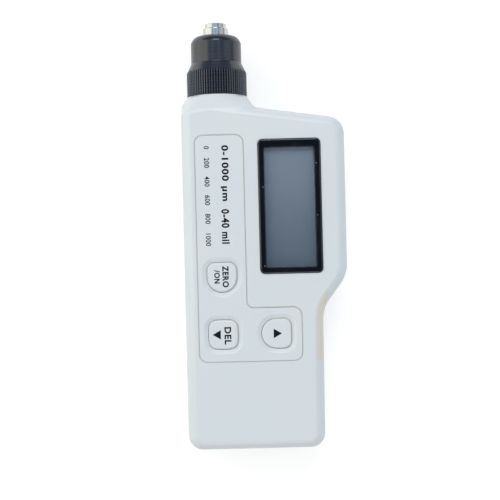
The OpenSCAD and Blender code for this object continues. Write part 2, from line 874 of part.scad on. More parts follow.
// Coil spring between bush and tip
module probe_spring() {
    sides = 8;
    ring_steps = 14;
    count = spring_turns * ring_steps;
    low = bush_top_y + wire_r;
    rise = tip_low_y - bush_top_y - 2 * wire_r;
    wire = [for (i = [0:count], j = [0:sides - 1])
        let (turn = 360 * i / ring_steps, r = spring_r + wire_r * cos(360 * j / sides))
        [r * cos(turn), r * sin(turn), low + rise * i / count + wire_r * sin(360 * j / sides)]];
    color("gray")
        on_probe_axis()
            polyhedron(
                points = wire,
                faces = concat(
                    [[for (j = [0:sides - 1]) j]],
                    [for (i = [0:count - 1], j = [0:sides - 1])
                        [i * sides + j, (i + 1) * sides + j,
                            (i + 1) * sides + (j + 1) % sides, i * sides + (j + 1) % sides]],
                    [[for (j = [sides - 1:-1:0]) count * sides + j]]));
}

// Socket of the probe's lead, on the back of the board
module probe_plug() {
    color("ivory")
        block([probe_x - plug_w / 2, plug_end_y - plug_len, parting_z - 2 * lead_r],
            [probe_x + plug_w / 2, plug_end_y, board_z]);
}

// Lead from the socket into the bush
module probe_lead() {
    color("dimgray")
        probe_ring(lead_r, plug_end_y, collar_y);
}

// One cell, with its nub towards the probe or towards the foot
module battery_cell(index) {
    nub_r = 1.9;
    nub_h = 1.2;
    rim = 0.7;
    r = cell_d / 2;
    up = index % 2 == 1;
    start = up ? bay_y0 + plate_t + leaf_h : bay_y1 - plate_t - leaf_h;
    color("darkorange")
        translate([bay_x + (index - (cell_count + 1) / 2) * cell_pitch, start, cell_z])
            rotate([up ? -90 : 90, 0, 0])
                rotate_extrude()
                    polygon([[0, 0], [r - rim, 0], [r, rim], [r, cell_len - nub_h - rim],
                        [r - rim, cell_len - nub_h], [nub_r, cell_len - nub_h], [nub_r, cell_len],
                        [0, cell_len]]);
}

// Contact plates: a flat one at each nub and a bowed leaf at each other end
module battery_contacts() {
    half = 3.5;
    color("silver")
        for (index = [1:cell_count])
            translate([bay_x + (index - (cell_count + 1) / 2) * cell_pitch, 0, cell_z - half]) {
                up = index % 2 == 1;
                translate([-half, up ? bay_y1 - plate_t : bay_y0, 0])
                    cube([2 * half, plate_t, 2 * half]);
                translate([0, up ? bay_y0 : bay_y1, 0])
                    mirror([0, up ? 0 : 1, 0])
                        bowed_leaf(half);
            }
}

// Leaf of sheet metal, bowed up from a flat plate
module bowed_leaf(half) {
    crest = 1;
    difference() {
        linear_extrude(2 * half)
            polygon([[-half, 0], [half, 0], [half, plate_t], [crest, plate_t + leaf_h],
                [-crest, plate_t + leaf_h], [-half, plate_t]]);
        translate([0, 0, -cut])
            linear_extrude(2 * half + 2 * cut)
                polygon([[crest - half, plate_t], [half - crest, plate_t],
                    [crest / 2, leaf_h], [-crest / 2, leaf_h]]);
    }
}

// Sliding door in the back, with grip ridges near the foot
module battery_door() {
    grip_w = 16;
    grip_count = 6;
    grip_pitch = 2;
    grip_y = 8;
    color("white")
        intersection() {
            difference() {
                union() {
                    block([bay_x - door_half, -cut, door_low_z], [bay_x + door_half, door_end_y, door_top_z]);
                    block([bay_x - door_flange_half, -cut, door_step_z],
                        [bay_x + door_flange_half, door_end_y, door_top_z]);
                }
                for (i = [0:grip_count - 1])
                    block([bay_x - grip_w / 2, grip_y + i * grip_pitch, -cut],
                        [bay_x + grip_w / 2, grip_y + (i + 1 / 2) * grip_pitch, 2 * door_low_z]);
            }
            translate([0, 0, parting_z])
                mirror([0, 0, 1])
                    loft(housing_outline,
                        concat([[0, 0]], rounded_edge(back_edge_r, parting_z, side_draft)));
        }
}

// Screw with its head down, driven upwards, with a cross recess
module screw(at, head_z, head_r, head_h, r, length) {
    slot_w = 0.3 * head_r;
    slot_l = 1.2 * head_r;
    color("silver")
        difference() {
            union() {
                post(at, head_r, head_z - head_h, head_z);
                post(at, r, head_z, head_z + length);
            }
            for (turn = [0, 90])
                translate([at[0], at[1], head_z - head_h])
                    rotate([0, 0, turn])
                        cube([slot_l, slot_w, head_h], center = true);
        }
}

// Screws that hold the two shells together
module shell_screws() {
    for (at = shell_screw_at)
        screw(at, screw_recess, screw_head_r, screw_head_h, screw_r, screw_len);
}

// Screws that hold the board to the front shell
module board_screws() {
    for (at = board_screw_at)
        screw(at, board_z, board_head_r, board_head_h, board_screw_r, board_screw_len);
}

// Puts the part's origin under the middle of its box
module placed() {
    translate([-head_w / 2, -overall_len / 2, 0])
        children();
}

placed() front_shell();
placed() rear_shell();
placed() key_panel();
placed() display_bezel();
placed() display_window();
placed() lcd_glass();
placed() lcd_holder();
placed() contact_strips();
placed() main_board();
placed() processor();
placed() probe_amplifier();
placed() crystal();
placed() switch(zero_at);  // zero_switch
placed() switch(del_at);  // del_switch
placed() switch(up_at);  // up_switch
placed() plunger(zero_at);  // zero_plunger
placed() plunger(del_at);  // del_plunger
placed() plunger(up_at);  // up_plunger
placed() key(zero_outline, zero_at);  // zero_key
placed() key(del_outline, del_at);  // del_key
placed() key(up_outline, up_at);  // up_key
placed() probe_bush();
placed() probe_sleeve();
placed() probe_tip();
placed() probe_core();
placed() coil_former();
placed() probe_coil();
placed() probe_spring();
placed() probe_plug();
placed() probe_lead();
placed() battery_cell(1);  // battery_cell_1
placed() battery_cell(2);  // battery_cell_2
placed() battery_cell(3);  // battery_cell_3
placed() battery_cell(4);  // battery_cell_4
placed() battery_contacts();
placed() battery_door();
placed() shell_screws();
placed() board_screws();
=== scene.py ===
"""Looks of a coating thickness gauge with a built-in sprung probe, lying on its back."""
import json
import math

import bmesh
import bpy
from mathutils import Matrix, Vector

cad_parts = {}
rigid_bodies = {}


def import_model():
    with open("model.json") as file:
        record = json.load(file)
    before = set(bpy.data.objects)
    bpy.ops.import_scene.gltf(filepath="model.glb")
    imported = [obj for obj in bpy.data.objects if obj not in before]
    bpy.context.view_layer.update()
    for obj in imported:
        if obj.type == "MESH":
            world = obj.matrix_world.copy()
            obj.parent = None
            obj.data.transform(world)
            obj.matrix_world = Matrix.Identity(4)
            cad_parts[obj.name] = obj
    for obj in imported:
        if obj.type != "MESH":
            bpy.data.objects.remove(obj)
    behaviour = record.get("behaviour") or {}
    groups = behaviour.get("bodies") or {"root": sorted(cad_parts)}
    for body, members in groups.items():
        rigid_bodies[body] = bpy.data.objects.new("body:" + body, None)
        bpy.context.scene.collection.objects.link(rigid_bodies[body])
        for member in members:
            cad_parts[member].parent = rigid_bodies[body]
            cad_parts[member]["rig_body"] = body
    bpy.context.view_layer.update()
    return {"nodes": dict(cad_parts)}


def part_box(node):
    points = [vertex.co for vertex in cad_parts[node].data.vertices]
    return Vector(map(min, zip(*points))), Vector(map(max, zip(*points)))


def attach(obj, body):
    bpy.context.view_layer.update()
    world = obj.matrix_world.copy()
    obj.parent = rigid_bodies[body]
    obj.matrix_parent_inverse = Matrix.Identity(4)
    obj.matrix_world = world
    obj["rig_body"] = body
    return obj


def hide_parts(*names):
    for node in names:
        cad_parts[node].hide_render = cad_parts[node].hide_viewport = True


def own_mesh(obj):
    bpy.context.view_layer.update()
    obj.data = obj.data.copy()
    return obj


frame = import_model()

# Millimetres to the frame's metres
MM = 0.001

# Photograph: the camera looks straight down, turned a little about its own axis
CAMERA_AT = Vector((-0.0058, -0.00634, 0.4404))
CAMERA_TURN = math.radians(-1.43)
LENS = 79.44
SENSOR = 36.0

# Edges sharper than this are creases, which a small round breaks
CREASE_ANGLE = math.radians(38)
# Faces that meet at less than this are one flat
FLAT_ANGLE = math.radians(0.5)
# The sleeve's rings are creases too, and its ridges are left as they are
RING_ANGLES = math.radians(17), math.radians(35)
# The spring's wire has eight sides, which shade as one
WIRE_ANGLE = math.radians(60)
# Corners nearer than this are one
MERGE = 0.002 * MM

# Thickness of the printed legends
INK = 0.02 * MM

# Rubber skirts of the keys: depth of their two faces below the key's top, with the side that is cut off there
SKIRT_DEPTHS = ((0.92 * MM, 1), (1.5 * MM, -1))
SKIRT_REACH = 0.2 * MM

# Painted highlights on the crests of the sleeve's ridges: how far inside its radius the highlight starts and
# is full
CREST_DEPTHS = 0.22 * MM, 0.02 * MM

# Bare ends of the cells: how far from an end the jacket stops and the metal is full
BARE_ENDS = 0.9 * MM, 0.8 * MM

# Painted warm shade in the grooves: depths below the shell's face and margins round panel and frame, from no
# tint to full
GROOVE_DEPTHS = 0.06 * MM, 0.3 * MM
GROOVE_MARGINS = 0.5 * MM, 0.3 * MM

# Rounds that break the crisp edges of the pieces that show, in millimetres
EDGES = {"front_shell": 0.1, "rear_shell": 0.22, "key_panel": 0.08, "battery_door": 0.12, "display_bezel": 0,
         "display_window": 0.05, "lcd_glass": 0.05, "zero_key": 0, "del_key": 0, "up_key": 0,
         "probe_sleeve": 0.1, "probe_tip": 0.05, "shell_screws": 0.05}

# Boldness of the print: how far the letters' outlines are set out
BOLD = 0.036
FINE = 0.016

# Print on the keys: name, words, key, and the room they fill across and along, in millimetres from its middle
KEY_LEGENDS = (("zero_legend", "ZERO", "zero", (0.15, 2.5), (-3.7, 4.3)),
               ("on_legend", "/ON", "zero", (-2.9, -0.8), (-2.2, 2.8)),
               ("del_legend", "DEL", "del", (0.4, 2.9), (-3.7, 2.8)))

# Triangles on the keys: name, key, base beside the key's middle, reach and half base, in millimetres
KEY_ARROWS = (("del_arrow", "del", -1.0, -3.0, 1.73), ("up_arrow", "up", -1.1, 3.05, 1.77))

# Print on the panel: name, words, the room they fill in millimetres from the panel's low corner, and boldness
PANEL_LEGENDS = (("range_legend", "0-1000 µm", (9.3, 12.4), (59.8, 80.6), BOLD),
                 ("inch_legend", "0-40 mil", (9.3, 12.2), (43.9, 56.8), BOLD),
                 ("scale_legend", "0    200    400    600    800    1000", (3.3, 5.2), (43.2, 80.4), FINE))

# Ceiling as reflections show it: height on the unit sphere, and colour
CEILING = ((0.02, (1.0, 1.0, 1.0)), (0.1, (0.20, 0.23, 0.28)), (0.86, (0.20, 0.26, 0.36)),
           (0.93, (0.56, 0.76, 1.0)), (0.972, (0.56, 0.76, 1.0)), (0.988, (0.05, 0.065, 0.10)))

# Even light from all round
SKY_COLOUR = (0.96, 0.98, 1.0, 1)
SKY_LIGHT = 0.58

# Soft boxes: name, place, size, power and colour
LAMPS = (("left_light", (-0.62, 0.25, 0.34), 0.72, 2.15, (1.0, 0.93, 0.76)),
         ("right_light", (0.62, 0.2, 0.44), 0.52, 0.43, (1.0, 0.97, 0.90)),
         ("head_light", (0, 1.75, 2.2), 1.2, 20.5, (0.83, 0.925, 1.0)),
         ("foot_light", (0, -1.4, 0.9), 0.6, 2.7, (1.0, 0.99, 0.94)))

# Floor: half its width, its colour, and the glow that makes it white in the picture
FLOOR_REACH = 3
FLOOR_GREY = (0.62, 0.62, 0.62, 1)
FLOOR_GLOW = 0.56


# Shared effects


def effect(name, inputs, outputs):
    """Empty node group with float sockets, and its input and output nodes."""
    tree = bpy.data.node_groups.new(name, "ShaderNodeTree")
    for label, value in inputs.items():
        socket = tree.interface.new_socket(name=label, in_out="INPUT", socket_type="NodeSocketFloat")
        socket.default_value = value
    for label in outputs:
        tree.interface.new_socket(name=label, in_out="OUTPUT", socket_type="NodeSocketFloat")
    return tree, tree.nodes.new("NodeGroupInput"), tree.nodes.new("NodeGroupOutput")


def object_place(tree, scale=(1, 1, 1), shift=(0, 0, 0)):
    """Object coordinates, stretched by scale and moved by shift."""
    place = tree.nodes.new("ShaderNodeTexCoord")
    mapping = tree.nodes.new("ShaderNodeMapping")
    mapping.inputs["Scale"].default_value = scale
    mapping.inputs["Location"].default_value = shift
    tree.links.new(place.outputs["Object"], mapping.inputs["Vector"])
    return mapping.outputs["Vector"]


def noise(tree, vector, detail, roughness=0.5, distortion=0.0):
    """Noise texture read at vector."""
    made = tree.nodes.new("ShaderNodeTexNoise")
    made.inputs["Detail"].default_value = detail
    made.inputs["Roughness"].default_value = roughness
    made.inputs["Distortion"].default_value = distortion
    tree.links.new(vector, made.inputs["Vector"])
    return made


def spread(tree, value, low, high, to_low=0.0, to_high=1.0):
    """Smoothly stretches the part of value between low and high."""
    made = tree.nodes.new("ShaderNodeMapRange")
    made.interpolation_type = "SMOOTHSTEP"
    for label, number in (("From Min", low), ("From Max", high), ("To Min", to_low), ("To Max", to_high)):
        made.inputs[label].default_value = number
    tree.links.new(value, made.inputs["Value"])
    return made.outputs["Result"]


def joined(tree, operation, first, second):
    """Two values brought together by a sum such as MAXIMUM or MULTIPLY."""
    made = tree.nodes.new("ShaderNodeMath")
    made.operation = operation
    tree.links.new(first, made.inputs[0])
    tree.links.new(second, made.inputs[1])
    return made.outputs["Value"]


def moulded_grain():
    """Fine grain of a moulded surface, and slow mottling of its colour."""
    tree, given, result = effect("moulded_grain", {"Grain": 2400, "Mottle": 40}, ("Height", "Mottle"))
    place = object_place(tree)
    grain = noise(tree, place, 3, 0.6)
    tree.links.new(given.outputs["Grain"], grain.inputs["Scale"])
    tree.links.new(grain.outputs["Fac"], result.inputs["Height"])
    mottle = noise(tree, place, 4, 0.6)
    tree.links.new(given.outputs["Mottle"], mottle.inputs["Scale"])
    tree.links.new(spread(tree, mottle.outputs["Fac"], 0.3, 0.7), result.inputs["Mottle"])
    return tree


def turned_lines():
    """Lines that a cutting tool leaves round the probe's axis."""
    tree, given, result = effect("turned_lines", {"Lines": 5200}, ("Height", "Streak"))
    lines = noise(tree, object_place(tree, (0.004, 1, 0.004)), 3, 0.7)
    tree.links.new(given.outputs["Lines"], lines.inputs["Scale"])
    tree.links.new(lines.outputs["Fac"], result.inputs["Height"])
    tree.links.new(spread(tree, lines.outputs["Fac"], 0.35, 0.65), result.inputs["Streak"])
    return tree


def smudges():
    """Soft patches left by handling."""
    tree, given, result = effect("smudges", {"Scale": 60}, ("Smudge",))
    patches = noise(tree, object_place(tree), 5, 0.6, 0.8)
    tree.links.new(given.outputs["Scale"], patches.inputs["Scale"])
    tree.links.new(spread(tree, patches.outputs["Fac"], 0.42, 0.66), result.inputs["Smudge"])
    return tree


def dust_specks():
    """Sparse specks of dust, up to about half a millimetre across."""
    tree, given, result = effect("dust_specks", {"Scale": 350}, ("Speck",))
    cells = tree.nodes.new("ShaderNodeTexVoronoi")
    tree.links.new(object_place(tree), cells.inputs["Vector"])
    tree.links.new(given.outputs["Scale"], cells.inputs["Scale"])
    tree.links.new(spread(tree, cells.outputs["Distance"], 0.06, 0.11, 1, 0), result.inputs["Speck"])
    return tree


GRAIN = moulded_grain()
LINES = turned_lines()
SMUDGES = smudges()
SPECKS = dust_specks()


# Materials

# The housing's white, and the warmer one that mottles it
WHITE = (0.704, 0.757, 0.800)
WHITE_WARM = (0.722, 0.766, 0.791)


class Finish:
    """A material around one Principled shader, with short ways to feed its sockets."""

    def __init__(self, name, **sockets):
        self.material = bpy.data.materials.new(name)
        self.material.use_nodes = True
        self.tree = self.material.node_tree
        self.shader = self.tree.nodes["Principled BSDF"]
        for label, value in sockets.items():
            self.shader.inputs[label.replace("_", " ")].default_value = value

    def effect(self, tree, **values):
        """Places a shared effect with its own values."""
        made = self.tree.nodes.new("ShaderNodeGroup")
        made.node_tree = tree
        for label, value in values.items():
            made.inputs[label].default_value = value
        return made

    def colours(self, mask, first, second):
        """Base colour that runs from the first to the second with mask."""
        mix = self.tree.nodes.new("ShaderNodeMix")
        mix.data_type = "RGBA"
        mix.inputs["A"].default_value = (*first, 1)
        mix.inputs["B"].default_value = (*second, 1)
        self.tree.links.new(mask, mix.inputs["Factor"])
        self.tree.links.new(mix.outputs["Result"], self.shader.inputs["Base Color"])
        return mix

    def over(self, mask, colour):
        """Lays another colour over the base colour with mask."""
        mix = self.tree.nodes.new("ShaderNodeMix")
        mix.data_type = "RGBA"
        mix.inputs["B"].default_value = (*colour, 1)
        base = self.shader.inputs["Base Color"]
        self.tree.links.new(base.links[0].from_socket, mix.inputs["A"])
        self.tree.links.new(mask, mix.inputs["Factor"])
        self.tree.links.new(mix.outputs["Result"], base)

    def roughness(self, mask, low, high):
        """Roughness that runs from low to high with mask."""
        self.tree.links.new(spread(self.tree, mask, 0, 1, low, high), self.shader.inputs["Roughness"])

    def bump(self, height, depth, strength=1.0):
        """Relief of the given depth in metres."""
        bump = self.tree.nodes.new("ShaderNodeBump")
        bump.inputs["Distance"].default_value = depth
        bump.inputs["Strength"].default_value = strength
        self.tree.links.new(height, bump.inputs["Height"])
        self.tree.links.new(bump.outputs["Normal"], self.shader.inputs["Normal"])


def moulded(name, first, second, rough, depth, grain=2400, mottle=40, **sockets):
    """Moulded plastic or rubber with a fine grain."""
    finish = Finish(name, **sockets)
    surface = finish.effect(GRAIN, Grain=grain, Mottle=mottle)
    finish.colours(surface.outputs["Mottle"], first, second)
    finish.roughness(surface.outputs["Height"], *rough)
    finish.bump(surface.outputs["Height"], depth)
    return finish


def machined(name, first, second, rough, lines=5200, depth=0.004 * MM, **sockets):
    """Turned or drawn metal with fine lines."""
    finish = Finish(name, **{"Metallic": 1.0, **sockets})
    surface = finish.effect(LINES, Lines=lines)
    finish.colours(surface.outputs["Streak"], first, second)
    finish.roughness(surface.outputs["Streak"], *rough)
    finish.bump(surface.outputs["Height"], depth)
    return finish


def knurled_black():
    """Blackened metal of the sleeve, with painted highlights that make the crests of its ridges paler."""
    finish = machined("sleeve_black", (0.006, 0.010, 0.021), (0.012, 0.018, 0.032), (0.20, 0.28),
                      depth=0.0012 * MM, Metallic=0.0, Specular_IOR_Level=0.8)
    low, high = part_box("probe_sleeve")
    axis = (low + high) / 2
    tree = finish.tree
    from_axis = tree.nodes.new("ShaderNodeVectorMath")
    from_axis.operation = "LENGTH"
    tree.links.new(object_place(tree, (1, 0, 1), (-axis.x, 0, -axis.z)), from_axis.inputs[0])
    radius = (high.x - low.x) / 2
    crest_highlight = spread(tree, from_axis.outputs["Value"], *(radius - depth for depth in CREST_DEPTHS))
    # painted highlight on the crests of the ridges
    finish.over(crest_highlight, (0.036, 0.042, 0.055))
    return finish


def wrapped_cell():
    """Dark jacket of the cells, with bare metal at both ends."""
    finish = moulded("cell_jacket", (0.030, 0.036, 0.050), (0.042, 0.050, 0.066), (0.2, 0.32), 0.003 * MM)
    low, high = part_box("battery_cell_1")
    tree = finish.tree
    from_middle = tree.nodes.new("ShaderNodeVectorMath")
    from_middle.operation = "LENGTH"
    tree.links.new(object_place(tree, (0, 1, 0), (0, -(low.y + high.y) / 2, 0)), from_middle.inputs[0])
    half = (high.y - low.y) / 2
    bare = spread(tree, from_middle.outputs["Value"], *(half - reach for reach in BARE_ENDS))
    finish.over(bare, (0.62, 0.61, 0.58))
    tree.links.new(bare, finish.shader.inputs["Metallic"])
    return finish


def housing_plastic(name):
    """White plastic of the housing."""
    return moulded(name, WHITE, WHITE_WARM, (0.28, 0.40), 0.010 * MM)


def groove_shaded_white():
    """White of the front shell, with warm shade painted in the grooves round the key panel and the display
    frame.
    """
    finish = housing_plastic("shell_white")
    panel_low, panel_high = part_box("key_panel")
    frame_low, frame_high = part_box("display_bezel")
    left, foot = min(panel_low.x, frame_low.x), min(panel_low.y, frame_low.y)
    right, head = max(panel_high.x, frame_high.x), max(panel_high.y, frame_high.y)
    middle = Vector(((left + right) / 2, (foot + head) / 2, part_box("front_shell")[1].z))
    tree = finish.tree
    distance = tree.nodes.new("ShaderNodeVectorMath")
    distance.operation = "ABSOLUTE"
    tree.links.new(object_place(tree, shift=-middle), distance.inputs[0])
    parts = tree.nodes.new("ShaderNodeSeparateXYZ")
    tree.links.new(distance.outputs["Vector"], parts.inputs["Vector"])
    painted_groove_shade = spread(tree, parts.outputs["Z"], *GROOVE_DEPTHS)
    for axis, half in (("X", (right - left) / 2), ("Y", (head - foot) / 2)):
        outer, inner = (half + margin for margin in GROOVE_MARGINS)
        painted_groove_shade = joined(tree, "MULTIPLY", painted_groove_shade, spread(tree, parts.outputs[axis], inner, outer, 1, 0))
    # painted warm shade in the grooves round panel and frame
    finish.over(painted_groove_shade, (0.74, 0.72, 0.65))
    return finish


def glossy_frame():
    """Polished black plastic with faint smudges and a little dust."""
    finish = Finish("frame_black", Specular_IOR_Level=0.9)
    marks = finish.effect(SMUDGES, Scale=90)
    finish.colours(marks.outputs["Smudge"], (0.002, 0.003, 0.006), (0.004, 0.005, 0.008))
    finish.roughness(marks.outputs["Smudge"], 0.06, 0.15)
    dust = finish.effect(SPECKS, Scale=350)
    finish.over(dust.outputs["Speck"], (0.16, 0.17, 0.19))
    return finish


def clear_window():
    """Clear pane that lets the light through to the display."""
    finish = Finish("window_clear", Transmission_Weight=1.0, IOR=1.46, Base_Color=(0.93, 0.95, 0.96, 1))
    marks = finish.effect(SMUDGES, Scale=70)
    finish.roughness(marks.outputs["Smudge"], 0.01, 0.05)
    tree = finish.tree
    path = tree.nodes.new("ShaderNodeLightPath")
    lighting = joined(tree, "MAXIMUM", path.outputs["Is Shadow Ray"], path.outputs["Is Diffuse Ray"])
    through = tree.nodes.new("ShaderNodeBsdfTransparent")
    mix = tree.nodes.new("ShaderNodeMixShader")
    tree.links.new(lighting, mix.inputs["Fac"])
    tree.links.new(finish.shader.outputs["BSDF"], mix.inputs[1])
    tree.links.new(through.outputs["BSDF"], mix.inputs[2])
    tree.links.new(mix.outputs["Shader"], tree.nodes["Material Output"].inputs["Surface"])
    return finish


def display_cell():
    """Grey display without digits, with a painted reflection that makes it a little paler towards the probe.
    """
    finish = Finish("display_grey", Roughness=0.35)
    low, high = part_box("lcd_glass")
    tree = finish.tree
    place = tree.nodes.new("ShaderNodeTexCoord")
    parts = tree.nodes.new("ShaderNodeSeparateXYZ")
    tree.links.new(place.outputs["Object"], parts.inputs["Vector"])
    # painted reflection: the display is paler towards the probe
    height = spread(tree, parts.outputs["Y"], low.y, high.y)
    mix = finish.colours(height, (0.121, 0.166, 0.222), (0.222, 0.278, 0.360))
    surface = finish.effect(GRAIN, Grain=5200, Mottle=120)
    tint = tree.nodes.new("ShaderNodeMix")
    tint.data_type = "RGBA"
    tint.blend_type = "MULTIPLY"
    tint.inputs["Factor"].default_value = 0.06
    tree.links.new(mix.outputs["Result"], tint.inputs["A"])
    tree.links.new(surface.outputs["Height"], tint.inputs["B"])
    tree.links.new(tint.outputs["Result"], finish.shader.inputs["Base Color"])
    return finish


FINISHES = {
    "housing_white": housing_plastic("housing_white"),
    "key_white": moulded("key_white", WHITE, WHITE_WARM, (0.30, 0.42), 0.006 * MM, grain=3000),
    "frame_black": glossy_frame(),
    "window_clear": clear_window(),
    "display_grey": display_cell(),
    "natural_nylon": moulded("natural_nylon", (0.70, 0.66, 0.56), (0.76, 0.73, 0.64), (0.4, 0.6),
                             0.01 * MM),
    "contact_rubber": moulded("contact_rubber", (0.05, 0.05, 0.05), (0.09, 0.09, 0.09), (0.6, 0.8),
                              0.02 * MM),
    "board_green": moulded("board_green", (0.012, 0.10, 0.05), (0.02, 0.16, 0.08), (0.25, 0.4), 0.01 * MM,
                           grain=900, mottle=260),
    "chip_black": moulded("chip_black", (0.018, 0.018, 0.02), (0.03, 0.03, 0.03), (0.45, 0.65), 0.012 * MM),
    "sleeve_black": knurled_black(),
    "tip_nickel": machined("tip_nickel", (0.54, 0.54, 0.53), (0.65, 0.65, 0.63), (0.15, 0.23),
                           depth=0.001 * MM),
    "bush_brass": machined("bush_brass", (0.55, 0.40, 0.16), (0.72, 0.54, 0.24), (0.22, 0.36)),
    "winding_copper": machined("winding_copper", (0.45, 0.16, 0.06), (0.70, 0.30, 0.14), (0.25, 0.4), 9000),
    "spring_steel": machined("spring_steel", (0.42, 0.43, 0.45), (0.60, 0.61, 0.63), (0.22, 0.36), 2600),
    "cell_jacket": wrapped_cell(),
}
SHELL_WHITE = groove_shaded_white()
# beige of the key skirts: painted shade of the gaps round the keys
GAP_SHADE_BEIGE = moulded("skirt_gap_shade", (0.62, 0.54, 0.40), (0.68, 0.60, 0.46), (0.5, 0.7), 0.006 * MM)
INK_BLACK = moulded("ink_black", (0.004, 0.003, 0.003), (0.008, 0.006, 0.006), (0.5, 0.7), 0.004 * MM,
                    grain=6000, Specular_IOR_Level=0.2)


# Pieces


def slot_of(node):
    """Name of the material slot that a CAD node takes its finish from."""
    return frame["nodes"][node].data.materials[0].name


def placed(name, form, finish, body):
    """Links a finished mesh to the scene and lets it ride on a body."""
    mesh = bpy.data.meshes.new(name)
    form.to_mesh(mesh)
    form.free()
    mesh.materials.append(finish.material)
    piece = bpy.data.objects.new(name, mesh)
    bpy.context.scene.collection.objects.link(piece)
    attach(piece, body)
    return piece


def shade(piece, crease):
    """Smooth shading that keeps flats flat, with crisp creases."""
    mesh = piece.data
    loose = mesh.attributes.get("custom_normal")
    if loose:
        mesh.attributes.remove(loose)
    mesh.shade_smooth()
    mesh.set_sharp_from_angle(angle=crease)
    weighted = piece.modifiers.new("weighted_normal", "WEIGHTED_NORMAL")
    weighted.keep_sharp = True


def dressed(node, edge, crease=CREASE_ANGLE, upper=math.pi):
    """Smooth copy of a CAD node with the edges from crease to upper broken, which stands for the node."""
    source = frame["nodes"][node]
    slot = slot_of(node)
    form = bmesh.new()
    form.from_mesh(source.data)
    bmesh.ops.remove_doubles(form, verts=form.verts, dist=MERGE)
    bmesh.ops.dissolve_limit(form, angle_limit=FLAT_ANGLE, verts=form.verts, edges=form.edges)
    if edge:
        sharp = [e for e in form.edges if e.is_manifold and crease < e.calc_face_angle() < upper]
        bmesh.ops.bevel(form, geom=sharp, offset=edge, offset_type="OFFSET", affect="EDGES", segments=2,
                        profile=0.5, material=-1, clamp_overlap=True)
    piece = placed(node + "_finished", form, FINISHES[slot], source["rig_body"])
    shade(piece, crease)
    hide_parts(node)
    return piece


def front_shell():
    """Front shell, with its own white and a crisp ridge round its flat face."""
    mesh = dressed("front_shell", EDGES["front_shell"] * MM).data
    mesh.materials[0] = SHELL_WHITE.material
    level = max(v.co.z for v in mesh.vertices) - MERGE
    for edge in mesh.edges:
        if all(mesh.vertices[v].co.z > level for v in edge.vertices):
            edge.use_edge_sharp = True


def short_spring():
    """Probe spring, as a smooth copy with a mesh of its own."""
    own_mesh(dressed("probe_spring", 0, WIRE_ANGLE))


def recoloured(node):
    """CAD node that keeps its own mesh and gets its finish."""
    source = frame["nodes"][node]
    source.data.materials[0] = FINISHES[slot_of(node)].material


def room(corner, across, along):
    """Low and high corners of a rectangle given in millimetres from corner."""
    return [(corner.x + x * MM, corner.y + y * MM) for x, y in zip(across, along)]


def printed(name, words, filled, top, body, bold):
    """Words printed on a face, turned so that they read towards the foot, filling a rectangle."""
    low, high = filled
    curve = bpy.data.curves.new(name, "FONT")
    curve.body = words
    curve.offset = bold
    # Bolder letters stand further apart
    curve.space_character = 1.0 + 4 * bold
    # Any thickness will do, because the words are scaled to that of the ink
    curve.extrude = 0.01
    text = bpy.data.objects.new(name, curve)
    bpy.context.scene.collection.objects.link(text)
    bpy.context.view_layer.update()
    flat = bpy.data.meshes.new_from_object(text.evaluated_get(bpy.context.evaluated_depsgraph_get()))
    bpy.data.objects.remove(text)
    form = bmesh.new()
    form.from_mesh(flat)
    corners = [Vector(map(f, zip(*(v.co for v in form.verts)))) for f in (min, max)]
    size = corners[1] - corners[0]
    bmesh.ops.translate(form, verts=form.verts, vec=-corners[0])
    bmesh.ops.scale(form, verts=form.verts,
                    vec=((high[1] - low[1]) / size.x, (high[0] - low[0]) / size.y, INK / size.z))
    bmesh.ops.rotate(form, verts=form.verts, matrix=Matrix.Rotation(math.radians(-90), 3, "Z"))
    bmesh.ops.translate(form, verts=form.verts, vec=(low[0], high[1], top))
    bmesh.ops.remove_doubles(form, verts=form.verts, dist=MERGE)
    return placed(name, form, INK_BLACK, body)


def arrow(name, centre, top, reach, half, body):
    """Printed triangle that points along X by reach, from its base at centre."""
    form = bmesh.new()
    outline = (0, half), (0, -half), (reach, 0)
    face = form.faces.new([form.verts.new((centre.x + x, centre.y + y, top)) for x, y in outline])
    face.normal_update()
    if face.normal.z > 0:
        face.normal_flip()
    raised = bmesh.ops.extrude_face_region(form, geom=[face])
    bmesh.ops.translate(form, verts=[v for v in raised["geom"] if isinstance(v, bmesh.types.BMVert)],
                        vec=(0, 0, INK))
    bmesh.ops.recalc_face_normals(form, faces=form.faces)
    return placed(name, form, INK_BLACK, body)


def skirt(node, body):
    """Rubber skirt of a key, coloured with painted shade of the gap, which shows as a thin line where the key
    meets its well.
    """
    low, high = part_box(node)
    middle = (low + high) / 2
    form = bmesh.new()
    form.from_mesh(frame["nodes"][node].data)
    bmesh.ops.remove_doubles(form, verts=form.verts, dist=MERGE)
    for depth, side in SKIRT_DEPTHS:
        bmesh.ops.bisect_plane(form, geom=[*form.verts, *form.edges, *form.faces], clear_outer=True,
                               plane_co=(0, 0, high.z - depth), plane_no=(0, 0, side))
    bmesh.ops.edgeloop_fill(form, edges=[e for e in form.edges if e.is_boundary])
    wider = [(size + 2 * SKIRT_REACH) / size for size in high.xy - low.xy]
    bmesh.ops.scale(form, verts=form.verts, vec=(*wider, 1), space=Matrix.Translation(-middle))
    bmesh.ops.recalc_face_normals(form, faces=form.faces)
    return placed(node + "_skirt", form, GAP_SHADE_BEIGE, body)


def key_middle(key):
    """Centre of a key, and the height of its top."""
    low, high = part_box(key + "_key")
    return (low + high) / 2, high.z


def legends():
    """Printed legends of the three keys, and the measuring ranges on the panel."""
    for name, words, key, across, along in KEY_LEGENDS:
        middle, top = key_middle(key)
        printed(name, words, room(middle, across, along), top, key + "_button", BOLD)
    for name, key, base, reach, half in KEY_ARROWS:
        middle, top = key_middle(key)
        arrow(name, middle + Vector((base * MM, 0, 0)), top, reach * MM, half * MM, key + "_button")
    low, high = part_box("key_panel")
    for name, words, across, along, bold in PANEL_LEGENDS:
        printed(name, words, room(low, across, along), high.z, "housing", bold)


